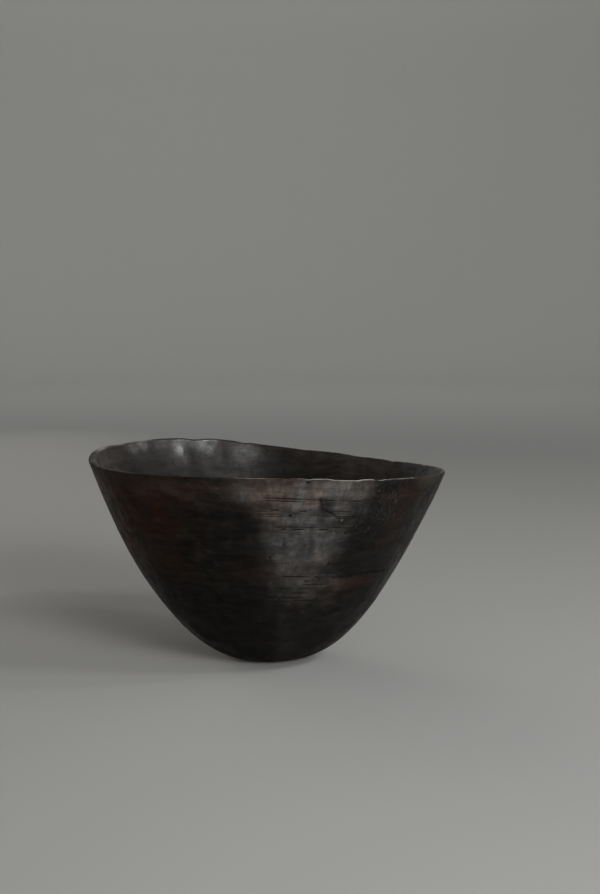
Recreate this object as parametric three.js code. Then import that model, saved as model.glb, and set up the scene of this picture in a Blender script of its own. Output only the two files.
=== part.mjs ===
// A hand-carved bowl, hollowed out of one piece of dark wood.
// Millimetres, +Z up. The origin is the middle of the flat worn patch that the bowl stands on.
// -Y is the front of the bowl, and +X is to the right of someone who faces the front.
import * as THREE from 'three';

// Outer wall: the radius grows with a power of the height, from the worn patch up to the lip.
const FOOT_RADIUS = 20;
const REFERENCE_HEIGHT = 200;
const OUTER_REFERENCE_RADIUS = 170.6;
const OUTER_POWER = 0.5;

// Hollow: the same kind of curve, starting above the thick bottom.
const BOTTOM_THICKNESS = 16;
const INNER_REFERENCE_RADIUS = 165.8;
const INNER_POWER = 0.448;

// Lip: a worn edge that rises and falls around the bowl. Each wave has a height, a number of
// crests around the bowl and the direction in degrees of one crest.
const LIP_HEIGHT = 179.5;
const LIP_ROUNDING_HEIGHT = 1.8;
const LIP_WAVES = [
  { height: 8.1, crests: 1, towards: 189.8 },
  { height: 3.9, crests: 2, towards: 127.5 },
  { height: 1.7, crests: 3, towards: 11 },
];

// Shorter swells of the lip: direction and half-width in degrees, and the rise
// in millimetres.
const LIP_SWELLS = [
  { towards: 66, halfWidth: 14, rise: 1.2 },
  { towards: 112, halfWidth: 13, rise: 1.5 },
  { towards: 131, halfWidth: 9, rise: 0.5 },
  { towards: 171, halfWidth: 13, rise: 1.8 },
  { towards: 284, halfWidth: 18, rise: 1 },
];

// The carver's irregularity: the outer wall bellies to the left at half height, the hollow sits
// to the right of the middle, so the left wall is the thicker one, and the mouth is a little oval.
const BELLY_SHIFT = -2;
const HOLLOW_SHIFT = 1.8;
const OVAL_STRETCH = 0.004;
const OVAL_TOWARDS = 60;

// Mesh fineness.
const SEGMENTS = 96;
const OUTER_ROWS = 16;
const LIP_STEPS = 4;
const INNER_ROWS = 12;

const WOOD_COLOUR = 0x2a1b14;
const WOOD_ROUGHNESS = 0.55;

function outerRadius(height) {
  const rise = Math.max(height, 0) / REFERENCE_HEIGHT;
  return FOOT_RADIUS + (OUTER_REFERENCE_RADIUS - FOOT_RADIUS) * rise ** OUTER_POWER;
}

function innerRadius(height) {
  const rise = (height - BOTTOM_THICKNESS) / (REFERENCE_HEIGHT - BOTTOM_THICKNESS);
  return INNER_REFERENCE_RADIUS * Math.max(rise, 0) ** INNER_POWER;
}

// Half of the bowl's section at the mean lip height, from the axis underneath, up the outside,
// over the lip and down the inside to the axis. Each point also says how far it is across the
// wall: 0 on the outside, 1 on the inside.
function sectionPoints() {
  const shoulder = LIP_HEIGHT - LIP_ROUNDING_HEIGHT;
  const points = [{ radius: 0, height: 0, across: 0 }];
  for (let row = 0; row <= OUTER_ROWS; row += 1) {
    const height = shoulder * (row / OUTER_ROWS) ** 2;
    points.push({ radius: outerRadius(height), height, across: 0 });
  }
  const lipOutside = outerRadius(shoulder);
  const lipInside = innerRadius(shoulder);
  const lipMiddle = (lipOutside + lipInside) / 2;
  const lipHalfWidth = (lipOutside - lipInside) / 2;
  for (let step = 1; step < LIP_STEPS; step += 1) {
    const turn = (Math.PI * step) / LIP_STEPS;
    points.push({
      radius: lipMiddle + lipHalfWidth * Math.cos(turn),
      height: shoulder + LIP_ROUNDING_HEIGHT * Math.sin(turn),
      across: (1 - Math.cos(turn)) / 2,
    });
  }
  for (let row = INNER_ROWS; row >= 0; row -= 1) {
    const height = BOTTOM_THICKNESS + (shoulder - BOTTOM_THICKNESS) * (row / INNER_ROWS) ** 2;
    points.push({ radius: innerRadius(height), height, across: 1 });
  }
  return points;
}

function degreesBetween(angle, towards) {
  const turn = THREE.MathUtils.euclideanModulo(angle - towards + 180, 360);
  return turn - 180;
}

// How far the lip stands above its mean height in a direction given in degrees.
function lipRise(angle) {
  let rise = 0;
  for (const wave of LIP_WAVES) {
    rise += wave.height * Math.cos(THREE.MathUtils.degToRad(wave.crests * (angle - wave.towards)));
  }
  for (const swell of LIP_SWELLS) {
    const off = degreesBetween(angle, swell.towards) / swell.halfWidth;
    rise += swell.rise * Math.exp(-off * off);
  }
  return rise;
}

// Turns the even section around the axis, then moves each point for the lip's rise and fall and
// for the carver's irregularity. Neither moves the worn patch or the points on the axis.
function bowlGeometry() {
  const section = sectionPoints();
  const profile = section.map((point) => new THREE.Vector2(point.radius, point.height));
  const geometry = new THREE.LatheGeometry(profile, SEGMENTS);
  geometry.rotateX(Math.PI / 2);
  const position = geometry.getAttribute('position');
  for (let index = 0; index < position.count; index += 1) {
    const point = section[index % section.length];
    const segment = Math.floor(index / section.length) % SEGMENTS;
    const turn = (2 * Math.PI * segment) / SEGMENTS;
    const degrees = THREE.MathUtils.radToDeg(turn);
    const share = (point.radius / OUTER_REFERENCE_RADIUS) * (point.height / LIP_HEIGHT);
    const height = point.height + lipRise(degrees) * share;
    const grown = outerRadius(height) - outerRadius(point.height);
    const twice = THREE.MathUtils.degToRad(2 * (degrees - OVAL_TOWARDS));
    const stretch = 1 + OVAL_STRETCH * Math.cos(twice);
    const radius = (point.radius + grown) * stretch;
    const belly = BELLY_SHIFT * Math.sin((Math.PI * point.height) / LIP_HEIGHT) ** 2;
    const hollowed = HOLLOW_SHIFT * point.across * (point.radius / OUTER_REFERENCE_RADIUS);
    position.setXYZ(
      index,
      radius * Math.cos(turn) + belly + hollowed,
      radius * Math.sin(turn),
      height,
    );
  }
  geometry.computeVertexNormals();
  return geometry;
}

const wood = new THREE.MeshStandardMaterial({
  color: WOOD_COLOUR,
  roughness: WOOD_ROUGHNESS,
  metalness: 0,
});
const bowl = new THREE.Mesh(bowlGeometry(), wood);
bowl.name = 'bowl';

const carvedBowl = new THREE.Group();
carvedBowl.add(bowl);

export default carvedBowl;
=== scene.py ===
"""The looks of a hand-carved bowl of dark, worn wood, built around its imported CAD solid."""

import math
from types import SimpleNamespace

import bpy
import numpy as np
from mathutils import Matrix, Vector


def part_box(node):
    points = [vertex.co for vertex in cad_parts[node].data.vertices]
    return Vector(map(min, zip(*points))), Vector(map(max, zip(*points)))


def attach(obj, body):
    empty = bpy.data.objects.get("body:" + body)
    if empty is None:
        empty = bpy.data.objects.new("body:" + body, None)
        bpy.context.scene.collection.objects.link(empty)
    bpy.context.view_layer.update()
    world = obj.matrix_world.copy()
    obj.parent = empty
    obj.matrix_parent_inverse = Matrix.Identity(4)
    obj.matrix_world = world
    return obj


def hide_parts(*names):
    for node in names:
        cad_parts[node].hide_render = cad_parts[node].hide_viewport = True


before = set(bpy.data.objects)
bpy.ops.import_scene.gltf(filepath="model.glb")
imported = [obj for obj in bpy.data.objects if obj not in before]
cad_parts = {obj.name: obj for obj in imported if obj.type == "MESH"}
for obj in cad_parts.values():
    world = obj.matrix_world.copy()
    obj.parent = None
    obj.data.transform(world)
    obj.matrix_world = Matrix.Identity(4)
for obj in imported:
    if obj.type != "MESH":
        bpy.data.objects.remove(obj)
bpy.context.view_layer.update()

MM = 0.001

# ---------------------------------------------------------------- the bowl's form, in millimetres
FOOT_RADIUS = 20.0
REFERENCE_HEIGHT = 200.0
OUTER_REFERENCE_RADIUS = 170.6
OUTER_POWER = 0.5
BOTTOM_THICKNESS = 16.0
INNER_REFERENCE_RADIUS = 165.8
INNER_POWER = 0.448
LIP_HEIGHT = 179.5
LIP_ROUNDING = 1.8
LIP_WAVES = ((8.1, 1, 189.8), (3.9, 2, 127.5), (1.7, 3, 11.0))
LIP_SWELLS = ((284, 18, 1.0), (66, 14, 1.2), (112, 13, 1.5), (131, 9, 0.5), (171, 13, 1.8))
BELLY_SHIFT = -2.0
HOLLOW_SHIFT = 1.8
OVAL_STRETCH = 0.004
OVAL_TOWARDS = 60.0

# Small chips and worn dips of the lip: direction and half-width in degrees, depth in mm.
LIP_CHIPS = (
    (276.0, 0.6, 0.4),
    (282.2, 1.0, 0.7),
    (305.6, 2.2, 0.7),
    (309.3, 0.6, 0.5),
    (119.0, 3.4, 1.2),
    (101.0, 2.0, 0.7),
    (152.0, 3.6, 0.6),
    (41.0, 1.6, 0.6),
    (57.5, 3.0, 0.5),
    (22.0, 1.2, 0.4),
    (200.5, 2.2, 0.4),
    (226.0, 1.6, 0.3),
    (343.0, 2.4, 0.5),
)
# Stretches of the lip that are pale, in degrees, and how pale each one is: partly wood rubbed down
# pale, partly a painted highlight, which makes the front (281 to 322) and the rear left (136 to 178)
# the palest.
LIP_PALE_WEAR_AND_HIGHLIGHT = (
    (281, 304, 1.0),
    (304, 322, 0.65),
    (258, 281, 0.50),
    (178, 226, 0.08),
    (136, 178, 0.55),
    (332, 362, 0.30),
    (12, 84, 0.38),
)
# The lip is worn lower over this stretch of the front: two directions and a depth in mm.
WORN_STRETCH = (289.2, 298.8, 1.0)

# Rings that the carver scored round the wall: height and depth in mm, how dark (or, below 0, how
# pale) the line is, and the stretches in degrees where it shows.
RINGS = (
    (167.0, 0.15, -0.12, ((236, 262), (120, 150))),
    (161.7, 0.40, 0.80, ((267, 301), (130, 176), (352, 381))),
    (159.6, 0.32, 0.62, ((269, 281), (236, 259), (120, 160))),
    (157.5, 0.22, 0.40, ((286, 299), (228, 251), (20, 70))),
    (152.4, 0.30, 0.52, ((268, 275), (281.5, 285), (290, 299), (244, 254), (40, 96))),
    (151.4, 0.42, 0.95, ((271.5, 274), (280.4, 282.8), (150, 190))),
    (149.3, 0.26, -0.28, ((267, 277), (289, 299), (50, 110))),
    (147.9, 0.32, 0.55, ((267, 276), (283.5, 299), (240, 256))),
    (146.0, 0.32, 0.50, ((269, 279), (281.5, 297), (92, 140), (340, 362))),
    (142.9, 0.14, -0.15, ((274, 290), (226, 246))),
    (139.5, 0.16, -0.15, ((262, 292), (176, 222))),
    (137.6, 0.34, 0.62, ((272, 300), (256, 264), (20, 56))),
    (135.9, 0.55, 1.00, ((275, 276.6), (278.6, 282.8), (287.2, 291), (60, 90))),
    (129.8, 0.12, 0.25, ((236, 262), (110, 150))),
    (96.8, 0.28, 0.50, ((291, 299), (120, 170))),
    (95.6, 0.16, -0.22, ((289, 298), (210, 226))),
    (93.6, 0.38, 0.75, ((276, 292), (60, 100))),
    (92.2, 0.18, -0.28, ((276, 300), (186, 204))),
    (86.4, 0.32, 0.55, ((279, 296), (150, 176))),
    (82.5, 0.34, 0.65, ((275, 281), (283, 290), (190, 226), (10, 60))),
    (78.6, 0.36, 0.70, ((281, 287), (90, 132))),
    (77.4, 0.20, -0.25, ((270, 290), (298, 304))),
    (73.9, 0.34, 0.70, ((268, 286), (30, 66))),
    (71.4, 0.36, 0.80, ((281, 293), (295.5, 300.5), (100, 140))),
    (68.8, 0.18, -0.20, ((271, 282), (294, 306), (180, 216))),
)
# The rings are as deep and dark as that only at the front; elsewhere they have this share of it.
DEEP_FRONT = (260, 304)
FAINT = 0.45
# Half-widths of a ring's groove in mm, at its bottom and at its edges.
GROOVE_BOTTOM = 0.24
GROOVE_EDGE = 0.78
# Each ring rises and falls twice round the bowl, and wanders besides: in mm, and a direction.
RING_TILT = 2.3
RING_TILT_TOWARDS = 285
RING_WANDER = 0.7

# Worm holes and knocks: direction in degrees, height, radius and depth in mm, and how dark.
PITS = (
    (277.6, 150.7, 1.3, 0.9, 1.0),
    (297.9, 132.2, 1.5, 0.9, 0.95),
    (276.3, 124.9, 1.3, 0.6, 0.8),
    (271.8, 113.0, 1.4, 1.1, 1.0),
    (294.4, 105.6, 1.3, 0.8, 1.0),
    (281.5, 102.0, 1.2, 0.7, 0.8),
    (282.2, 179.8, 2.3, 0.8, 0.75),
    (315.0, 121.0, 0.9, 0.5, -0.4),
    (323.2, 145.3, 0.9, 0.3, -0.35),
    (323.8, 114.3, 0.8, 0.3, -0.3),
    (315.6, 114.9, 0.8, 0.3, -0.3),
    (246.9, 125.5, 0.8, 0.3, -0.3),
    (295.2, 144.6, 1.1, 0.4, -0.65),
    (293.6, 133.4, 0.8, 0.3, -0.45),
    (247.0, 96.0, 0.9, 0.5, 0.5),
    (222.0, 131.0, 1.1, 0.6, 0.6),
    (205.0, 88.0, 1.0, 0.6, 0.6),
    (20.0, 118.0, 1.6, 1.2, 0.9),
    (33.0, 146.0, 1.5, 1.0, 0.9),
    (64.0, 92.0, 1.8, 1.2, 1.0),
    (71.0, 133.0, 1.6, 1.0, 0.9),
    (98.0, 108.0, 1.7, 1.1, 0.9),
    (131.0, 141.0, 1.8, 1.2, 1.0),
    (139.0, 84.0, 1.6, 1.0, 0.9),
    (160.0, 120.0, 1.7, 1.0, 0.9),
    (350.0, 96.0, 1.6, 1.0, 0.9),
)
# Gouges and scratches: points as (direction in degrees, height in mm), half-width and depth in mm,
# and how dark (below 0, how pale).
GOUGES = (
    (((286.4, 164.0), (287.6, 156.2), (290.9, 151.2), (294.2, 145.6)), 1.7, 0.60, 0.74),
    (((286.3, 90.6), (297.0, 91.2), (304.0, 92.0), (312.0, 92.8), (327.0, 90.6)), 2.2, 0.45, 0.68),
    (((306.5, 150.0), (302.0, 136.0), (298.5, 122.0), (295.8, 110.4)), 3.2, 0.30, 0.42),
    (((251.1, 111.0), (252.2, 106.5), (254.0, 103.1)), 0.8, 0.25, -0.30),
    (((302.0, 174.0), (303.6, 163.0), (303.0, 152.0)), 0.8, 0.2, 0.40),
    (((307.0, 172.0), (308.4, 164.0), (311.0, 158.0)), 0.7, 0.2, -0.22),
    (((309.3, 179.0), (308.6, 173.0), (307.8, 168.6)), 0.7, 0.4, 0.5),
    (((48.0, 176.0), (50.0, 165.0), (49.0, 152.0)), 1.0, 0.6, 0.8),
    (((118.0, 70.0), (124.0, 78.0), (131.0, 81.0)), 1.6, 0.5, 0.5),
    (((196.0, 150.0), (199.0, 141.0), (205.0, 137.0)), 1.4, 0.4, 0.4),
    (((345.0, 132.0), (351.0, 138.0), (356.0, 150.0)), 1.4, 0.4, 0.4),
    (((80.0, 150.0), (86.0, 149.0), (95.0, 145.0)), 1.0, 0.3, -0.30),
    (((146.0, 112.0), (150.0, 104.0), (151.0, 97.0)), 1.0, 0.3, -0.30),
)

# Soft patches of the surface: direction in degrees, height in mm, half-width in degrees,
# half-height in mm, and strength.
# These patches take a grey painted sheen. Over the front it stands in for the window's sheen, and the
# others lay the same grey round the back. They are rougher too.
PAINTED_SHEEN_PATCHES = (
    (281.4, 123, 9.6, 22, 1.0),
    (293, 126, 4.6, 12, 0.45),
    (281, 146.8, 9.0, 4.6, 1.0),
    (291, 172, 6.5, 6.5, 1.0),
    (281, 157, 10.0, 6.0, 0.60),
    (296, 158, 6.0, 12.0, 0.45),
    (286, 88, 13.0, 12.0, 0.38),
    (150, 125, 14.0, 22, 0.6),
    (70, 150, 15.0, 16, 0.6),
    (15, 105, 12.0, 22, 0.5),
)
RUBBED = (
    (278.5, 168.5, 9.6, 12.0, 0.95),
    (295, 172, 7.4, 8.0, 0.92),
    (268, 172, 9.0, 10.0, 0.68),
    (243, 172, 17.0, 10.0, 0.17),
    (222, 173, 15.0, 8.0, 0.08),
    (293, 152, 3.5, 5.0, 0.60),
    (284.4, 159.5, 2.4, 3.2, 0.85),
    (271, 153, 4.0, 4.5, 0.75),
    (277, 106, 4.5, 6.0, 0.60),
    (291, 116, 5.0, 8.0, 0.35),
    (273, 141, 4.0, 6.0, 0.35),
    (302, 86, 8.0, 6.0, 0.12),
    (332, 173, 8.0, 7.0, 0.20),
    (30, 174, 20.0, 7.0, 0.4),
    (100, 173, 18.0, 7.0, 0.5),
    (160, 173, 14.0, 7.0, 0.4),
)
REDDENED = (
    (208, 116, 12.0, 22, 1.0),
    (206, 150, 16.0, 18, 0.48),
    (226, 145, 16.0, 22, 0.55),
    (230, 171, 18.0, 10, 0.60),
    (232, 95, 9.0, 14, 0.22),
    (197, 166, 13.0, 13, 0.65),
    (262, 174, 12.0, 6, 0.45),
    (322, 160, 8.0, 18, 0.75),
    (321, 124, 6.0, 14, 0.45),
    (306, 86, 12.0, 5.5, 0.75),
    (346, 150, 14.0, 24, 0.45),
    (25, 130, 22.0, 30, 0.65),
    (80, 100, 22.0, 30, 0.65),
    (118, 150, 22.0, 22, 0.70),
    (168, 100, 16.0, 26, 0.60),
)
BLACKENED = (
    (253, 128, 11.0, 24, 0.45),
    (262, 98, 12.0, 22, 0.52),
    (243, 150, 7.0, 10, 0.50),
    (262, 152, 5.0, 10, 0.50),
    # These low patches, with the 0.6 at the foot and the 0.5 at the hollow's bottom in surface_masks,
    # make the wood darker towards the foot all round.
    (236, 48, 44.0, 34, 0.95),
    (285, 30, 60.0, 30, 0.95),
    (305, 130, 5.6, 22, 0.90),
    (310.5, 158, 8.0, 26, 0.88),
    (314, 105, 13.0, 34, 0.80),
    (332, 120, 15.0, 50, 0.92),
    (320, 145, 7.0, 15, 0.50),
    (338, 162, 16.0, 30, 0.95),
    (319, 176, 7.0, 10, 0.75),
    (307, 165, 4.0, 12, 0.50),
    (355, 110, 20.0, 50, 0.85),
    (20, 60, 40.0, 30, 0.80),
    (52, 130, 12.0, 34, 0.80),
    (100, 55, 50.0, 28, 0.85),
    (170, 50, 40.0, 28, 0.80),
    (140, 120, 9.0, 30, 0.80),
    (184, 135, 9.0, 30, 0.60),
)
# Where a smudge of soot covers the polished and the rubbed wood.
SMUDGED = (
    (288.0, 158.5, 2.2, 5.6, 0.80),
    (290.6, 151.6, 2.6, 2.8, 0.55),
    (286.8, 164.5, 1.8, 2.6, 0.45),
    (302, 134, 3.0, 7.0, 0.40),
)
SCRATCHED = (
    (307, 156, 11.0, 22, 1.0),
    (298, 140, 8.0, 14, 0.4),
    (214, 116, 12.0, 22, 0.6),
    (60, 150, 14.0, 22, 0.7),
    (165, 140, 14.0, 24, 0.7),
)
# The same for the inner wall: where it shines and where it is stained.
# Where the hollow shines, the grey painted sheen is laid into the colour too: a painted highlight
# under the lamps' glints near the rim.
HOLLOW_POLISH_AND_PAINTED_SHEEN = (
    (126.9, 183, 2.4, 6.0, 1.0),
    (117.4, 183, 1.8, 5.0, 0.95),
    (113.6, 183, 2.2, 5.0, 0.95),
    (122, 185, 2.4, 3.5, 0.60),
    (135, 185, 4.0, 4.0, 0.80),
    (146, 187, 6.0, 3.6, 1.00),
    (101, 172, 4.5, 9.0, 0.60),
    (20, 160, 14.0, 16.0, 0.40),
    (255, 165, 16.0, 16.0, 0.40),
    (310, 140, 18.0, 20.0, 0.35),
    (190, 150, 14.0, 20.0, 0.25),
)
HOLLOW_RUBBED = (
    (18, 180, 24, 9, 0.45),
    (45, 165, 22, 16, 0.20),
    (172, 178, 14, 8, 0.25),
)
HOLLOW_STAINED = (
    (125, 148, 8.5, 25, 0.90),
    (115, 150, 5.0, 23, 0.80),
    (143, 156, 9.0, 23, 0.80),
    (122, 170, 1.5, 9, 0.70),
    (108.5, 170, 1.4, 12, 0.70),
    (80, 140, 20.0, 40, 0.7),
    (150, 140, 16.0, 40, 0.6),
    (230, 130, 24.0, 40, 0.6),
    (340, 130, 24.0, 40, 0.7),
)

# The mesh: widths of its columns in degrees, and how far round from the front each width reaches.
FINE_COLUMN = 0.38
COARSE_COLUMN = 1.2
FINE_TOWARDS = 288
FINE_REACH = 40
COARSE_REACH = 50
# Its rows, in millimetres: they crowd towards the foot below LOW_WALL and are closer at the lip.
FOOT_RINGS = (0.0, 6.0, 12.0)
LOW_WALL = 56.0
LOW_ROWS = 22
LOW_CROWDING = 1.8
ROW_STEP = 2.4
LIP_ROW_STEP = 1.2
LIP_BAND = 8
RING_CLEARANCE = 0.9
LEAST_ROW = 0.2
LIP_STEPS = 8
LIP_SQUARENESS = 0.8
HOLLOW_ROWS = 38

# Facets scraped on the outside and tool marks in the hollow: how wide and deep they are, the way
# round the wall that they are laid along, and the swells under them, all in millimetres.
FACET_SIZE = 53.0
FACET_DEPTH = 0.22
OUTER_GIRTH = 1060
TOOL_MARK_SIZE = 25.0
TOOL_MARK_DEPTH = 0.40
INNER_GIRTH = 900
SWELL_DEPTH = 0.35
UNEVEN_DEPTH = 0.10
# The lip's chips have steep sides, its worn stretch fades out over WORN_SOFT degrees, and its
# ripple is cut off below RIPPLE_CUT millimetres.
CHIP_SHARPNESS = 2.6
WORN_SOFT = 1.6
RIPPLE_CUT = 0.08
# The raised edge of a gouge, as a share of its depth, and the steepness taken for the foot's edge.
RAISED_EDGE = 0.15
FOOT_SLOPE = 4.0
# How fast a soft patch fades towards its edge, and how suddenly.
PATCH_FADE = 0.7
PATCH_SUDDENNESS = 1.6
# What brings the noise to a range of about -1 to 1.
NOISE_GAIN = 1.7


class Perlin:
    """Smooth seeded noise in space, from about -1 to 1."""

    def __init__(self, seed):
        rng = np.random.default_rng(seed)
        self.order = np.tile(rng.permutation(256), 3)
        gradients = rng.normal(size=(256, 3))
        self.gradients = gradients / np.linalg.norm(gradients, axis=1)[:, None]

    def __call__(self, points):
        points = np.asarray(points, float)
        cell = np.floor(points).astype(int)
        inside = points - cell
        ease = inside**3 * (inside * (inside * 6 - 15) + 10)
        total = np.zeros(points.shape[:-1])
        for corner in np.ndindex(2, 2, 2):
            at = (cell + corner) & 255
            key = self.order[self.order[self.order[at[..., 0]] + at[..., 1]] + at[..., 2]]
            reach = (self.gradients[key] * (inside - corner)).sum(-1)
            weight = np.where(np.array(corner) == 1, ease, 1 - ease).prod(-1)
            total += weight * reach
        return total * NOISE_GAIN


NOISE_A, NOISE_B, NOISE_C = Perlin(11), Perlin(23), Perlin(37)


def smoothstep(low, high, x):
    t = np.clip((x - low) / (high - low), 0, 1)
    return t * t * (3 - 2 * t)


def degrees_between(angle, towards):
    return (angle - towards + 180) % 360 - 180


def outer_radius(height):
    rise = np.maximum(height, 0) / REFERENCE_HEIGHT
    return FOOT_RADIUS + (OUTER_REFERENCE_RADIUS - FOOT_RADIUS) * rise**OUTER_POWER


def inner_radius(height):
    rise = (height - BOTTOM_THICKNESS) / (REFERENCE_HEIGHT - BOTTOM_THICKNESS)
    return INNER_REFERENCE_RADIUS * np.maximum(rise, 0) ** INNER_POWER


def lip_rise(angle):
    rise = np.zeros_like(angle)
    for height, crests, towards in LIP_WAVES:
        rise += height * np.cos(np.radians(crests * (angle - towards)))
    for towards, half_width, height in LIP_SWELLS:
        rise += height * np.exp(-((degrees_between(angle, towards) / half_width) ** 2))
    return rise


def stretch_window(angle, start, end, soft):
    """1 between two directions, falling to 0 outside them over soft degrees."""
    middle, half = (start + end) / 2, (end - start) / 2
    off = np.abs(degrees_between(angle, middle))
    return 1 - smoothstep(half - soft, half + soft, off)


def distance_to_line(angle, height, points, arc_scale):
    """Distance in mm from points on the wall to a line of (degrees, height) points."""
    best = np.full(angle.shape, 1e9)
    for (a0, h0), (a1, h1) in zip(points, points[1:]):
        x = degrees_between(angle, a0) * arc_scale
        y = height - h0
        dx = (a1 - a0) * arc_scale
        dy = h1 - h0
        t = np.clip((x * dx + y * dy) / (dx * dx + dy * dy), 0, 1)
        best = np.minimum(best, np.hypot(x - t * dx, y - t * dy))
    return best


def scallops(u, v, rng, cell):
    """Shallow tool marks: the squared distance to the nearest of a jittered grid of points."""
    columns, rows = int(round(u.max() / cell)) + 1, int(v.max() / cell) + 3
    spots = rng.uniform(-0.42, 0.42, (columns, rows, 2))
    i, j = np.floor(u / cell).astype(int), np.floor(v / cell).astype(int)
    best = np.full(u.shape, 9.0)
    for di in (-1, 0, 1):
        for dj in (-1, 0, 1):
            a, b = i + di, np.clip(j + dj, 0, rows - 1)
            spot = spots[a % columns, b]
            across, up = a + 0.5 + spot[..., 0] - u / cell, b + 0.5 + spot[..., 1] - v / cell
            best = np.minimum(best, across**2 + up**2)
    return np.minimum(best, 1.0)


def patches(degrees, height, spots):
    """Soft-edged patches, each 1 at its middle times its strength, laid over each other."""
    clear = np.ones_like(degrees)
    for towards, at, half_turn, half_height, strength in spots:
        gap = (degrees_between(degrees, towards) / half_turn) ** 2
        gap = gap + ((height - at) / half_height) ** 2
        clear *= 1 - strength * np.exp(-PATCH_FADE * gap**PATCH_SUDDENNESS)
    return 1 - clear


# ---------------------------------------------------------------- the wall before it is carved
def column_angles():
    """Directions of the mesh's columns, closer together where the front has fine marks."""
    angles = [0.0]
    while angles[-1] < 360:
        off = abs(float(degrees_between(angles[-1], FINE_TOWARDS)))
        near = smoothstep(COARSE_REACH, FINE_REACH, off)
        angles.append(angles[-1] + COARSE_COLUMN + (FINE_COLUMN - COARSE_COLUMN) * near)
    return np.array(angles[:-1]) * 360 / angles[-1]


def wall_heights():
    """Heights of the outer wall's rows: four across each ring, and a coarser run between."""
    top = LIP_HEIGHT - LIP_ROUNDING
    offsets = (-GROOVE_EDGE, -GROOVE_BOTTOM, GROOVE_BOTTOM, GROOVE_EDGE)
    rings = [ring[0] + offset for ring in RINGS for offset in offsets]
    plain = [LOW_WALL * (row / LOW_ROWS) ** LOW_CROWDING for row in range(LOW_ROWS)]
    plain += list(np.arange(LOW_WALL, top - LIP_BAND, ROW_STEP))
    plain += list(np.arange(top - LIP_BAND, top, LIP_ROW_STEP))
    rows = rings + [top]
    for height in plain:
        if min(abs(height - ring) for ring in rings) > RING_CLEARANCE:
            rows.append(height)
    rows.sort()
    kept = [rows[0]]
    for height in rows[1:]:
        if height - kept[-1] > LEAST_ROW:
            kept.append(height)
    return np.array(kept)


def section():
    """The half-section: radius, height, and how far across the wall each point is (0 outside)."""
    rows = [(radius, 0.0, 0.0) for radius in FOOT_RINGS]
    top = LIP_HEIGHT - LIP_ROUNDING
    rows += [(float(outer_radius(height)), height, 0.0) for height in wall_heights()]
    outside, inside = float(outer_radius(top)), float(inner_radius(top))
    middle, half = (outside + inside) / 2, (outside - inside) / 2
    for step in range(1, LIP_STEPS):
        turn = math.pi * step / LIP_STEPS
        squared = abs(math.cos(turn)) ** LIP_SQUARENESS * math.copysign(1, math.cos(turn))
        rise = LIP_ROUNDING * math.sin(turn) ** LIP_SQUARENESS
        rows.append((middle + half * squared, top + rise, (1 - math.cos(turn)) / 2))
    for row in range(HOLLOW_ROWS, -1, -1):
        height = BOTTOM_THICKNESS + (top - BOTTOM_THICKNESS) * (row / HOLLOW_ROWS) ** 2
        rows.append((float(inner_radius(height)), height, 1.0))
    return np.array(rows)


class Wall:
    """The half-section swept round: each value has one row for a direction of the mesh and one
    column for a point of the section. Lengths are in millimetres."""

    def __init__(self):
        rows = section()
        angles = column_angles()
        shape = (len(angles), len(rows))
        self.degrees = np.broadcast_to(angles[:, None], shape)
        self.radius = np.broadcast_to(rows[:, 0], shape)
        self.height = np.broadcast_to(rows[:, 1], shape)
        self.across = np.broadcast_to(rows[:, 2], shape)
        self.turn = np.radians(self.degrees)
        self.outside = self.across < 0.01
        self.inside = self.across > 0.99
        flat = np.zeros_like(self.turn)
        self.around = np.stack([np.cos(self.turn), np.sin(self.turn), flat], -1)

    def spread(self, turns, span):
        """Places for a noise that varies round the wall and, over span millimetres, up it."""
        x, y = self.around[..., 0] * turns, self.around[..., 1] * turns
        return np.stack([x, y, self.height / span], -1)

    def below_lip(self, start, end):
        """1 well below the lip, falling to 0 between two distances under it."""
        return 1 - smoothstep(LIP_HEIGHT - start, LIP_HEIGHT - end, self.height)


# ---------------------------------------------------------------- what is carved into it
def worn_lip(wall):
    """How far the lip's chips, its worn stretch and a fine ripple take it down."""
    worn = np.zeros_like(wall.turn)
    for towards, half_width, depth in LIP_CHIPS:
        off = degrees_between(wall.degrees, towards) / half_width
        worn += depth * np.exp(-np.abs(off) ** CHIP_SHARPNESS)
    start, end, depth = WORN_STRETCH
    worn += depth * stretch_window(wall.degrees, start, end, WORN_SOFT)
    ripple = NOISE_A(wall.around * 18) * 0.12 + NOISE_B(wall.around * 52) * 0.07
    worn += np.maximum(ripple, -RIPPLE_CUT) + RIPPLE_CUT
    return worn


def uneven_height(wall):
    """Heights once the lip rises, falls and is worn, and the rings lie on tilted, wavy planes."""
    share = (wall.radius / OUTER_REFERENCE_RADIUS) * (wall.height / LIP_HEIGHT)
    near_lip = smoothstep(LIP_HEIGHT - 9, LIP_HEIGHT - 1, wall.height)
    height = wall.height + lip_rise(wall.degrees) * share - worn_lip(wall) * near_lip
    wander = NOISE_C(wall.around * 1.6 + wall.height[..., None] / 45) * RING_WANDER
    wander -= RING_TILT * np.sin(np.radians(2 * (wall.degrees - RING_TILT_TOWARDS)))
    return height + wander * (smoothstep(30, 66, wall.height) * wall.below_lip(13, 2)) * wall.outside


class Marks:
    """Marks of the outer wall: how deep they go, and where they look dark or pale."""

    def __init__(self, wall):
        self.depth = np.zeros_like(wall.turn)
        self.dark = np.zeros_like(wall.turn)
        self.pale = np.zeros_like(wall.turn)

    def add(self, depth, shape, tone):
        self.depth += depth
        self.dark = np.maximum(self.dark, shape * max(tone, 0))
        self.pale = np.maximum(self.pale, shape * max(-tone, 0))


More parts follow.
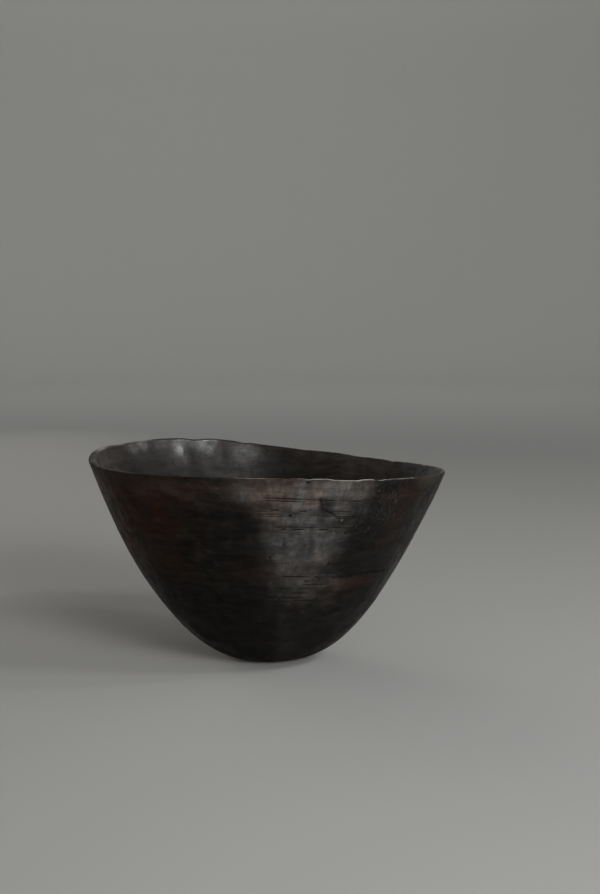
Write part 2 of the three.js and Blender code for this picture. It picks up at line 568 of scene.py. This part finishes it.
def score_rings(marks, wall):
    """The rings scored round the wall, each broken up by noise and deepest at the front."""
    front = FAINT + (1 - FAINT) * stretch_window(wall.degrees, *DEEP_FRONT, 6.0)
    for index, (ring, depth, tone, stretches) in enumerate(RINGS):
        shape = 1 - smoothstep(GROOVE_BOTTOM, GROOVE_EDGE, np.abs(wall.height - ring))
        seen = np.zeros_like(wall.turn)
        for start, end in stretches:
            soft = min(2.0, (end - start) * 0.3)
            seen = np.maximum(seen, stretch_window(wall.degrees, start, end, soft))
        broken = NOISE_B(wall.around * 8 + index * 7.3)
        broken = broken + 0.6 * NOISE_A(wall.around * 30 + index * 3.1)
        seen = seen * smoothstep(-1.2, 0.05, broken) + 0.12 * smoothstep(0.2, 0.9, broken)
        seen = seen * front
        marks.add(depth * shape * seen, shape * seen, tone)


def cut_gouges(marks, wall, height, arc_scale):
    """Gouges and scratches along their lines, with a slightly raised edge."""
    broken = smoothstep(-0.5, 0.4, NOISE_B(wall.around * 40 + wall.height[..., None] / 4))
    for points, half_width, depth, tone in GOUGES:
        gap = distance_to_line(wall.degrees, height, points, arc_scale)
        shape = np.exp(-((gap / half_width) ** 2))
        edge = np.exp(-(((gap - 1.7 * half_width) / half_width) ** 2))
        relief = depth * shape - RAISED_EDGE * depth * edge
        marks.add(relief, shape * (0.45 + 0.55 * broken), tone)


def sink_pits(marks, wall, height, arc_scale):
    """Worm holes and knocks."""
    for towards, at, size, depth, tone in PITS:
        gap = np.hypot(degrees_between(wall.degrees, towards) * arc_scale, height - at)
        shape = np.exp(-((gap / size) ** 4))
        marks.add(depth * shape, shape, tone)


def outer_marks(wall, height):
    arc_scale = math.pi / 180 * outer_radius(wall.height)
    marks = Marks(wall)
    score_rings(marks, wall)
    cut_gouges(marks, wall, height, arc_scale)
    sink_pits(marks, wall, height, arc_scale)
    marks.depth *= wall.outside
    marks.dark *= wall.outside
    marks.pale *= wall.outside
    return marks


def scraped_facets(wall, rng):
    """Broad facets and swells that scraping left on the outside, as a depth."""
    u = wall.degrees / 360 * OUTER_GIRTH + 6 * NOISE_A(wall.around * 3)
    facets = scallops(u, wall.height * 1.25, rng, FACET_SIZE)
    swell = SWELL_DEPTH * NOISE_B(wall.spread(3.1, 34)) + UNEVEN_DEPTH * NOISE_C(wall.spread(11, 12))
    shown = smoothstep(6, 30, wall.height) * wall.below_lip(12, 2)
    return wall.outside * shown * (swell - FACET_DEPTH * facets + 0.1)


def hollow_marks(wall, rng):
    """Marks of the tool that hollowed the bowl, as a depth cut out of the hollow's wall."""
    u = wall.degrees / 360 * INNER_GIRTH
    v = wall.height * 1.2 + 0.35 * np.abs((u % 60) - 30)
    scoops = scallops(u, v, rng, TOOL_MARK_SIZE)
    above_bottom = smoothstep(BOTTOM_THICKNESS + 1, BOTTOM_THICKNESS + 20, wall.height)
    shown = above_bottom * wall.below_lip(7, 2)
    swell = SWELL_DEPTH * NOISE_C(wall.spread(5, 12))
    return wall.inside * shown * (swell - TOOL_MARK_DEPTH * scoops + 0.12)


def carved_points(wall, height, carved, scooped):
    """Where the points end up, as (x, y, z): moved square to the wall by what was carved."""
    grown = outer_radius(height) - outer_radius(wall.height)
    grown = np.where(wall.radius > 0, grown, 0)
    stretch = 1 + OVAL_STRETCH * np.cos(np.radians(2 * (wall.degrees - OVAL_TOWARDS)))
    radius = (wall.radius + grown) * stretch

    slope = outer_radius(wall.height + 0.5) - outer_radius(wall.height - 0.5)
    slope = np.where(wall.height < 1, FOOT_SLOPE, slope)
    norm = np.sqrt(1 + slope**2)
    carved = np.where(wall.outside & (wall.height > 0.01), carved, 0)
    radius = radius - carved / norm
    height = height + carved * slope / norm
    radius = radius + scooped / norm
    height = height - scooped * slope / norm

    belly = BELLY_SHIFT * np.sin(math.pi * wall.height / LIP_HEIGHT) ** 2
    hollowed = HOLLOW_SHIFT * wall.across * wall.radius / OUTER_REFERENCE_RADIUS
    x = radius * np.cos(wall.turn) + belly + hollowed
    y = radius * np.sin(wall.turn)
    return np.stack([x, y, height], -1)


def without_axis(values):
    """Leaves out the section's first and last points: all columns share those two."""
    return values[:, 1:-1]


def closed_mesh(name, points):
    """A mesh of quads over the grid of points, closed by a fan at each end of the section."""
    grid = without_axis(points)
    n_columns, width = grid.shape[:2]
    ends = np.array([[0.0, 0.0, 0.0], [0.0, 0.0, BOTTOM_THICKNESS]])
    verts = np.concatenate([grid.reshape(-1, 3), ends]) * MM
    here = np.arange(n_columns)
    beyond = (here + 1) % n_columns
    steps = np.arange(width - 1)
    a = here[:, None] * width + steps
    b = beyond[:, None] * width + steps
    quads = np.stack([a, b, b + 1, a + 1], -1).reshape(-1, 4)
    foot = n_columns * width
    last = width - 1
    fan_low = np.stack([here * 0 + foot, beyond * width, here * width], -1)
    fan_high = np.stack([here * 0 + foot + 1, here * width + last, beyond * width + last], -1)
    faces = [tuple(face) for part in (quads, fan_low, fan_high) for face in part.tolist()]
    made = bpy.data.meshes.new(name)
    made.from_pydata(verts.tolist(), [], faces)
    made.validate()
    return made


def lip_wear_and_highlight(wall):
    """How pale the lip's crest is: partly rubbed down to pale wood, partly a painted highlight."""
    patchy = NOISE_A(wall.around * 7) * 0.5 + NOISE_B(wall.around * 25) * 0.3
    bright = np.zeros_like(wall.turn)
    for start, end, strength in LIP_PALE_WEAR_AND_HIGHLIGHT:
        bright = np.maximum(bright, strength * stretch_window(wall.degrees, start, end, 3.0))
    crest = smoothstep(LIP_HEIGHT - 1.2, LIP_HEIGHT - 0.1, wall.height)
    crest = crest * smoothstep(-0.05, 0.3, wall.across)
    return crest * np.clip(0.16 + 0.70 * bright + 0.40 * patchy, 0, 1)


def surface_masks(wall, height, marks):
    """What the material reads at each point: its name, the values, and those of the two ends."""
    outer, inner = 1 - wall.across, wall.across

    def over(outer_spots, inner_spots=(), share=1.0):
        laid = patches(wall.degrees, height, outer_spots) * (share * outer)
        return laid + patches(wall.degrees, height, inner_spots) * inner

    clear = 1 - patches(wall.degrees, height, SMUDGED)
    return (
        # The lip's pale crest: partly worn wood, partly a painted highlight.
        ("wear", lip_wear_and_highlight(wall), 0, 0),
        ("dark", marks.dark, 0, 0),
        ("pale", marks.pale, 0, 0),
        ("inside", inner, 0, 1),
        # The patches of grey painted sheen in the colour; in the hollow they also set the coat's
        # shine.
        ("polished", over(PAINTED_SHEEN_PATCHES, HOLLOW_POLISH_AND_PAINTED_SHEEN, clear), 0, 0),
        ("rubbed", over(RUBBED, HOLLOW_RUBBED, clear), 0, 0),
        ("reddened", over(REDDENED), 0, 0),
        # The foot and the hollow's bottom get 0.6 and 0.5: darker towards the foot.
        ("blackened", over(BLACKENED, HOLLOW_STAINED), 0.6, 0.5),
        ("scratched", over(SCRATCHED), 0, 0),
    )


def bowl_mesh():
    wall = Wall()
    height = uneven_height(wall)
    marks = outer_marks(wall, height)
    rng = np.random.default_rng(5)
    carved = marks.depth + scraped_facets(wall, rng)
    points = carved_points(wall, height, carved, hollow_marks(wall, rng))
    made = closed_mesh("bowl_carved", points)
    for name, values, at_foot, at_bottom in surface_masks(wall, height, marks):
        flat = np.concatenate([without_axis(values).reshape(-1), [at_foot, at_bottom]])
        layer = made.attributes.new(name, "FLOAT", "POINT")
        layer.data.foreach_set("value", flat.astype(np.float32))
    return made


# ---------------------------------------------------------------- node helpers
class Nodes:
    def __init__(self, name):
        self.material = bpy.data.materials.new(name)
        self.material.use_nodes = True
        self.tree = self.material.node_tree
        self.tree.nodes.clear()

    def new(self, kind, **settings):
        node = self.tree.nodes.new(kind)
        for key, value in settings.items():
            setattr(node, key, value)
        return node

    def feed(self, socket, value):
        if isinstance(value, bpy.types.NodeSocket):
            self.tree.links.new(value, socket)
        else:
            socket.default_value = value

    def attribute(self, name):
        return self.new("ShaderNodeAttribute", attribute_name=name).outputs["Fac"]

    def math(self, operation, a, b, clamp=False):
        node = self.new("ShaderNodeMath", operation=operation, use_clamp=clamp)
        self.feed(node.inputs[0], a)
        self.feed(node.inputs[1], b)
        return node.outputs[0]

    def add(self, a, b, clamp=False):
        return self.math("ADD", a, b, clamp)

    def less(self, a, b):
        return self.math("SUBTRACT", a, b)

    def times(self, a, b, clamp=False):
        return self.math("MULTIPLY", a, b, clamp)

    def ramp(self, value, low, high, out_low=0.0, out_high=1.0):
        node = self.new("ShaderNodeMapRange", interpolation_type="SMOOTHSTEP")
        self.feed(node.inputs["Value"], value)
        node.inputs["From Min"].default_value = low
        node.inputs["From Max"].default_value = high
        node.inputs["To Min"].default_value = out_low
        node.inputs["To Max"].default_value = out_high
        return node.outputs["Result"]

    def mix(self, factor, a, b, blend="MIX"):
        node = self.new("ShaderNodeMix", data_type="RGBA", blend_type=blend)
        self.feed(node.inputs["Factor"], factor)
        a_socket, b_socket = [i for i in node.inputs if i.name in "AB" and i.type == "RGBA"]
        self.feed(a_socket, a)
        self.feed(b_socket, b)
        return next(o for o in node.outputs if o.type == "RGBA")

    def stretched(self, coordinates, scale, turn=(0, 0, 0)):
        node = self.new("ShaderNodeMapping")
        self.feed(node.inputs["Vector"], coordinates)
        node.inputs["Scale"].default_value = scale
        node.inputs["Rotation"].default_value = turn
        return node.outputs[0]

    def noise(self, vector, scale=1.0, detail=3.0, roughness=0.5, distortion=0.0):
        node = self.new("ShaderNodeTexNoise", noise_dimensions="3D")
        self.feed(node.inputs["Vector"], vector)
        node.inputs["Scale"].default_value = scale
        node.inputs["Detail"].default_value = detail
        node.inputs["Roughness"].default_value = roughness
        node.inputs["Distortion"].default_value = distortion
        return node.outputs["Fac"]

    def finish(self, shader):
        out = self.new("ShaderNodeOutputMaterial")
        self.feed(out.inputs["Surface"], shader.outputs[0])
        return self.material


def rgb(red, green, blue):
    return (red, green, blue, 1.0)


# ---------------------------------------------------------------- the wood
OLIVE_BLACK = rgb(0.0050, 0.0047, 0.0040)
OLIVE_BROWN = rgb(0.0100, 0.0078, 0.0060)
MOTTLED_BROWN = rgb(0.0175, 0.0135, 0.0110)
DARK_RED = rgb(0.0180, 0.0056, 0.0028)
WARM_RED = rgb(0.0380, 0.0135, 0.0068)
ORANGE = rgb(0.060, 0.025, 0.0135)
HOLLOW_BROWN = rgb(0.0240, 0.0198, 0.0163)
SOOT = rgb(0.0034, 0.0034, 0.0031)
# Greys of the painted sheen, standing in for the window's sheen on the wood.
PAINTED_SHEEN_DARK = rgb(0.062, 0.060, 0.056)
PAINTED_SHEEN_PALE = rgb(0.100, 0.097, 0.091)
DARK_PINK = rgb(0.072, 0.051, 0.042)
PALE_PINK = rgb(0.126, 0.096, 0.082)
PINK_GREY = rgb(0.098, 0.093, 0.086)
SCRAPED_BROWN = rgb(0.062, 0.045, 0.036)
SCRATCH_GREY = rgb(0.075, 0.070, 0.065)
PORE_BLACK = rgb(0.004, 0.0032, 0.0028)
SPECK_BROWN = rgb(0.062, 0.043, 0.034)
PALE_MARK = rgb(0.240, 0.195, 0.170)
DARK_MARK = rgb(0.0035, 0.0030, 0.0027)
LIP_BROWN = rgb(0.062, 0.042, 0.033)
# The lip crest's pale cool grey, partly a painted highlight.
LIP_PALE_AND_HIGHLIGHT = rgb(0.43, 0.405, 0.38)

MASKS = ("wear", "dark", "pale", "inside", "polished", "rubbed", "reddened", "blackened", "scratched")


def wood_noises(n):
    """The log's grain runs along X; the scraping runs round the wall; scratches run down it."""
    place = n.new("ShaderNodeTexCoord").outputs["Object"]
    along = n.stretched(place, (9, 150, 150))
    finely_along = n.stretched(place, (40, 900, 900))
    level = n.stretched(place, (16, 16, 1100))
    slanting = n.stretched(place, (620, 620, 34), (0, 0.45, 0))
    upright = n.stretched(place, (230, 230, 24))
    broad_upright = n.stretched(place, (52, 52, 9))
    broad_level = n.stretched(place, (34, 34, 150))
    return SimpleNamespace(
        grain=n.noise(along, detail=4, roughness=0.6),
        fine_grain=n.noise(finely_along, detail=3, roughness=0.6),
        scrape=n.noise(level, detail=3, roughness=0.65),
        scratch=n.noise(slanting, detail=3, roughness=0.6),
        clouds=n.noise(place, scale=15, detail=5, roughness=0.6, distortion=0.4),
        blotches=n.noise(place, scale=38, detail=6, roughness=0.62),
        mottle=n.noise(place, scale=80, detail=4, roughness=0.58, distortion=0.2),
        specks=n.noise(place, scale=420, detail=3, roughness=0.6),
        streaks=n.noise(upright, detail=4, roughness=0.6, distortion=0.1),
        bands=n.noise(broad_upright, detail=2, roughness=0.5),
        smears=n.noise(broad_level, detail=6, roughness=0.70, distortion=0.15),
    )


def bare_wood(n, noise, mask, soot):
    """Near-black olive where it is sooty, brown to red where hands and wear have warmed it."""
    colour = n.mix(n.ramp(noise.grain, 0.35, 0.68), OLIVE_BLACK, OLIVE_BROWN)
    colour = n.mix(n.ramp(noise.mottle, 0.44, 0.66, 0.0, 0.8), colour, MOTTLED_BROWN)
    red = n.mix(n.ramp(noise.fine_grain, 0.38, 0.66), DARK_RED, WARM_RED)
    red = n.mix(n.ramp(noise.mottle, 0.60, 0.74, 0.0, 0.65), red, ORANGE)
    reddened = n.times(mask.reddened, n.ramp(noise.blotches, 0.30, 0.62, 0.45, 1.0))
    reddened = n.add(reddened, n.ramp(noise.clouds, 0.48, 0.72, 0.0, 0.35), clamp=True)
    colour = n.mix(reddened, colour, red)
    colour = n.mix(n.times(mask.inside, 0.70), colour, HOLLOW_BROWN)
    return n.mix(soot, colour, SOOT)


def worn_wood(n, noise, mask, colour, painted_sheen):
    """Lays a grey painted sheen where the front and the hollow's rim shine, and the pinkish rubbed
    wood, over the colour.
    """
    # A grey painted sheen: colour standing in for the window's sheen on the front and for the glints
    # near the hollow's rim.
    painted_sheen_grey = n.mix(n.ramp(noise.streaks, 0.34, 0.66), PAINTED_SHEEN_DARK, PAINTED_SHEEN_PALE)
    colour = n.mix(n.times(painted_sheen, 0.80), colour, painted_sheen_grey)
    rubbed = n.times(mask.rubbed, n.ramp(noise.mottle, 0.32, 0.66, 0.52, 1.0))
    pink = n.mix(n.ramp(noise.blotches, 0.35, 0.65), DARK_PINK, PALE_PINK)
    pink = n.mix(n.ramp(noise.bands, 0.42, 0.60, 0.0, 0.85), pink, PINK_GREY)
    colour = n.mix(n.times(rubbed, 0.80), colour, pink)
    drawn_down = n.mix(1.0, colour, n.ramp(noise.streaks, 0.32, 0.68, 0.82, 1.18), "MULTIPLY")
    return n.mix(n.ramp(mask.rubbed, 0.1, 0.6), colour, drawn_down)


def marked_wood(n, noise, mask, colour, soot):
    """Lays the fine marks, the carved marks and the worn lip, with its painted highlight, over the
    colour.
    """
    clean = n.less(1.0, n.times(soot, 0.85))
    scraped = n.times(clean, n.ramp(noise.scrape, 0.56, 0.78, 0.0, 0.24))
    colour = n.mix(scraped, colour, SCRAPED_BROWN)
    colour = n.mix(1.0, colour, n.ramp(noise.smears, 0.30, 0.70, 0.64, 1.42), "MULTIPLY")
    scratched = n.times(mask.scratched, n.ramp(noise.scratch, 0.50, 0.72, 0.0, 0.42))
    colour = n.mix(scratched, colour, SCRATCH_GREY)
    colour = n.mix(n.ramp(noise.fine_grain, 0.60, 0.74, 0.0, 0.55), colour, PORE_BLACK)
    speckled = n.times(clean, n.ramp(noise.specks, 0.66, 0.76, 0.0, 0.5))
    colour = n.mix(speckled, colour, SPECK_BROWN)
    colour = n.mix(n.ramp(mask.pale, 0.1, 0.9, 0.0, 0.85), colour, PALE_MARK)
    colour = n.mix(n.ramp(mask.dark, 0.12, 0.85, 0.0, 0.93), colour, DARK_MARK)
    # The lip's crest in pale grey: worn wood with a painted highlight along it.
    worn = n.add(mask.wear, n.times(n.less(noise.specks, 0.5), 0.4))
    lip = n.mix(n.ramp(mask.wear, 0.3, 0.9), LIP_BROWN, LIP_PALE_AND_HIGHLIGHT)
    return n.mix(n.ramp(worn, 0.10, 0.55, 0.0, 0.92), colour, lip)


def wood_roughness(n, noise, mask, soot, painted_sheen):
    """The patches of painted sheen are rougher outside and smoother in the hollow; the hollow is the
    smoothest.
    """
    rough = n.ramp(noise.blotches, 0.3, 0.7, 0.50, 0.62)
    rough = n.add(rough, n.ramp(noise.mottle, 0.35, 0.68, -0.10, 0.12))
    rough = n.add(rough, n.times(painted_sheen, n.ramp(mask.inside, 0, 1, 0.14, -0.08)))
    rough = n.add(rough, n.times(soot, n.ramp(mask.inside, 0, 1, -0.10, 0.08)))
    rough = n.less(rough, n.times(mask.inside, 0.20))
    rough = n.add(rough, n.ramp(mask.dark, 0.2, 0.8, 0.0, 0.3))
    rough = n.add(rough, n.ramp(noise.fine_grain, 0.4, 0.7, -0.03, 0.06))
    return n.add(rough, n.ramp(mask.wear, 0.3, 0.9, 0.0, 0.10), clamp=True)


def burnish(n, noise, mask):
    """A thin shine in the hollow, strongest where it is most worn and weak where it is stained."""
    shine = n.ramp(noise.mottle, 0.30, 0.70, 0.08, 0.34)
    shine = n.times(shine, n.ramp(mask.polished, 0, 0.8, 1.0, 3.4))
    shine = n.times(shine, n.less(1.0, n.times(mask.blackened, 0.9)))
    return n.times(shine, mask.inside, clamp=True)


def wood_relief(n, noise):
    relief = n.times(noise.grain, 0.8)
    for value, weight in (
        (noise.fine_grain, 0.30),
        (noise.scrape, 0.35),
        (noise.blotches, 1.6),
        (noise.mottle, 1.1),
        (noise.specks, 0.20),
    ):
        relief = n.add(relief, n.times(value, weight))
    bump = n.new("ShaderNodeBump")
    bump.inputs["Strength"].default_value = 0.6
    bump.inputs["Distance"].default_value = 0.0007
    n.feed(bump.inputs["Height"], relief)
    return bump.outputs[0]


def wood_material():
    n = Nodes("carved_dark_wood")
    noise = wood_noises(n)
    mask = SimpleNamespace(**{name: n.attribute(name) for name in MASKS})
    soot = n.times(mask.blackened, n.ramp(noise.blotches, 0.26, 0.60, 1.0, 0.62))
    # Where the grey painted sheen is laid, broken up by noise.
    painted_sheen = n.times(mask.polished, n.ramp(noise.mottle, 0.32, 0.66, 0.42, 1.0))
    painted_sheen = n.times(painted_sheen, n.ramp(noise.blotches, 0.28, 0.6, 0.62, 1.0))
    colour = bare_wood(n, noise, mask, soot)
    colour = worn_wood(n, noise, mask, colour, painted_sheen)
    colour = marked_wood(n, noise, mask, colour, soot)

    shader = n.new("ShaderNodeBsdfPrincipled")
    n.feed(shader.inputs["Base Color"], colour)
    n.feed(shader.inputs["Roughness"], wood_roughness(n, noise, mask, soot, painted_sheen))
    n.feed(shader.inputs["Normal"], wood_relief(n, noise))
    shader.inputs["IOR"].default_value = 1.45
    shader.inputs["Specular IOR Level"].default_value = 0.09
    n.feed(shader.inputs["Coat Weight"], burnish(n, noise, mask))
    shader.inputs["Coat Roughness"].default_value = 0.22
    shader.inputs["Anisotropic"].default_value = 0.85
    shader.inputs["Anisotropic Rotation"].default_value = 0.25
    tangent = n.new("ShaderNodeTangent", direction_type="RADIAL", axis="Z")
    n.feed(shader.inputs["Tangent"], tangent.outputs[0])
    return n.finish(shader)


def plain_material(name, colour, roughness):
    n = Nodes(name)
    shader = n.new("ShaderNodeBsdfPrincipled")
    shader.inputs["Base Color"].default_value = colour
    shader.inputs["Roughness"].default_value = roughness
    shader.inputs["Specular IOR Level"].default_value = 0.1
    return n.finish(shader)


def add_object(name, data):
    made = bpy.data.objects.new(name, data)
    bpy.context.scene.collection.objects.link(made)
    return made


def fit_in_box(mesh, low, high):
    """Brings the mesh's own box inside the CAD box, a tenth of a millimetre or so, at the lip."""
    points = np.zeros(len(mesh.vertices) * 3)
    mesh.vertices.foreach_get("co", points)
    points = points.reshape(-1, 3)
    for axis in range(3):
        side = points[:, axis]
        side[side < 0] *= min(1.0, low[axis] / side.min()) if side.min() < 0 else 1.0
        side[side > 0] *= min(1.0, high[axis] / side.max())
    mesh.vertices.foreach_set("co", points.ravel())
    mesh.update()


# ---------------------------------------------------------------- the bowl
mesh = bowl_mesh()
fit_in_box(mesh, *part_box("bowl"))
mesh.polygons.foreach_set("use_smooth", np.ones(len(mesh.polygons), bool))
mesh.materials.append(wood_material())
bowl = add_object("carved_bowl", mesh)
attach(bowl, "root")
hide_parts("bowl")


# ---------------------------------------------------------------- floor, light and camera, in metres
FLOOR_RINGS = (0.0, 0.6, 1.5, 3.0, 4.5)
BEND_RADIUS = 1.5
BEND_STEPS = 12
WALL_HEIGHT = 3.0
BACKDROP_COLUMNS = 96
PALE_GREY = rgb(0.40, 0.39, 0.37)


def backdrop():
    """A pale floor that curves up into a wall far from the bowl, all round."""
    profile = [(radius, 0.0) for radius in FLOOR_RINGS]
    edge = FLOOR_RINGS[-1]
    for step in range(1, BEND_STEPS + 1):
        turn = math.pi / 2 * step / BEND_STEPS
        rise = BEND_RADIUS * (1 - math.cos(turn))
        profile.append((edge + BEND_RADIUS * math.sin(turn), rise))
    profile.append((edge + BEND_RADIUS, BEND_RADIUS + WALL_HEIGHT))
    verts, faces = [], []
    for radius, height in profile:
        for column in range(BACKDROP_COLUMNS):
            turn = 2 * math.pi * column / BACKDROP_COLUMNS
            verts.append((radius * math.cos(turn), radius * math.sin(turn), height))
    for row in range(len(profile) - 1):
        for column in range(BACKDROP_COLUMNS):
            beyond = (column + 1) % BACKDROP_COLUMNS
            a, b = row * BACKDROP_COLUMNS, (row + 1) * BACKDROP_COLUMNS
            if row:
                faces.append((a + column, b + column, b + beyond, a + beyond))
            else:
                faces.append((a, b + column, b + beyond))
    shape = bpy.data.meshes.new("backdrop")
    shape.from_pydata(verts, [], faces)
    shape.polygons.foreach_set("use_smooth", np.ones(len(shape.polygons), bool))
    shape.materials.append(plain_material("pale_floor", PALE_GREY, 0.9))
    return add_object("floor", shape)


backdrop()

MIDDLE = Vector((0, 0, 0.1))
UP = Vector((0, 0, 1))
COOL = (0.95, 0.98, 1.0)
WARM = (1.0, 0.98, 0.95)
EVERY_WAY = 180
# Lamps that face the bowl: azimuth from +X towards +Y and elevation in degrees, distance, width,
# height, radiance, colour, how wide they shine in degrees, and whether the bowl mirrors them.
LAMPS = {
    "window": (-61, 15, 2.4, 1.0, 0.9, 23.5, COOL, 75, True),
    "sky_panel": (-13, 35, 2.4, 1.9, 0.35, 2.6, COOL, EVERY_WAY, True),
    "rim_panel": (23, 26, 2.4, 0.8, 0.25, 5.0, COOL, EVERY_WAY, True),
    "front_panel": (-72, 44, 2.4, 1.1, 0.35, 2.2, COOL, EVERY_WAY, True),
    "glint_left": (-10.5, 36, 2.3, 0.15, 0.15, 55.0, COOL, EVERY_WAY, True),
    "glint_middle": (-29.5, 39.5, 2.3, 0.13, 0.13, 56.0, COOL, EVERY_WAY, True),
    "glint_right": (-36.5, 40.5, 2.3, 0.15, 0.13, 56.0, COOL, EVERY_WAY, True),
    "back_fill": (122, 10, 2.6, 1.6, 0.8, 11.0, WARM, 60, False),
    "left_fill": (162, 10, 2.6, 1.2, 0.8, 3.0, WARM, 60, False),
}
# Four lamps inside the backdrop wash its wall with light.
WASH_REACH, WASH_HEIGHT = 3.0, 3.4
WASH_AIM_REACH = 6
WASH_WIDTH, WASH_DEPTH, WASH_RADIANCE = 4.0, 0.8, 6.4
WORLD_STRENGTH = 0.09

LENS, SENSOR_WIDTH = 62.9, 36.0
CAMERA_PLACE = (0.02745, -1.4138, 0.331)
CAMERA_TILT = 5.587


def area_light(name, place, aim, width, height, radiance, colour, spread, glossy):
    """A soft rectangle of light at one point, facing another; it is not itself seen."""
    # A narrow spread fades the light with the tangent of its angle; this is what is left of it.
    half = math.radians(spread) / 2
    flux = math.pi * (math.sin(half) ** 2 - (half - math.sin(2 * half) / 2) / math.tan(half))
    light = bpy.data.lights.new(name, "AREA")
    light.shape = "RECTANGLE"
    light.size = width
    light.size_y = height
    light.energy = radiance * flux * width * height
    light.spread = math.radians(spread)
    light.color = colour
    lamp = add_object(name, light)
    lamp.location = place
    lamp.rotation_euler = (place - aim).to_track_quat("Z", "Y").to_euler()
    lamp.visible_camera = False
    lamp.visible_glossy = glossy


def direction(azimuth, elevation=0):
    turn, rise = math.radians(azimuth), math.radians(elevation)
    flat = math.cos(rise)
    return Vector((flat * math.cos(turn), flat * math.sin(turn), math.sin(rise)))


def light_the_bowl():
    for name, (azimuth, elevation, distance, *settings) in LAMPS.items():
        area_light(name, MIDDLE + direction(azimuth, elevation) * distance, MIDDLE, *settings)
    for quarter in range(4):
        side = direction(90 * quarter)
        place, aim = side * WASH_REACH + UP * WASH_HEIGHT, side * WASH_AIM_REACH + UP
        size = (WASH_WIDTH, WASH_DEPTH)
        area_light(f"wall_wash_{quarter}", place, aim, *size, WASH_RADIANCE, COOL, EVERY_WAY, True)
    world = bpy.data.worlds.new("studio")
    world.use_nodes = True
    background = world.node_tree.nodes["Background"]
    background.inputs["Color"].default_value = rgb(*COOL)
    background.inputs["Strength"].default_value = WORLD_STRENGTH
    bpy.context.scene.world = world


def place_camera():
    camera = bpy.data.cameras.new("camera")
    camera.lens = LENS
    camera.sensor_width = SENSOR_WIDTH
    eye = add_object("camera", camera)
    eye.location = CAMERA_PLACE
    eye.rotation_euler = (math.radians(90 - CAMERA_TILT), 0, 0)
    bpy.context.scene.camera = eye


light_the_bowl()
place_camera()
bpy.context.scene.view_settings.view_transform = "Standard"
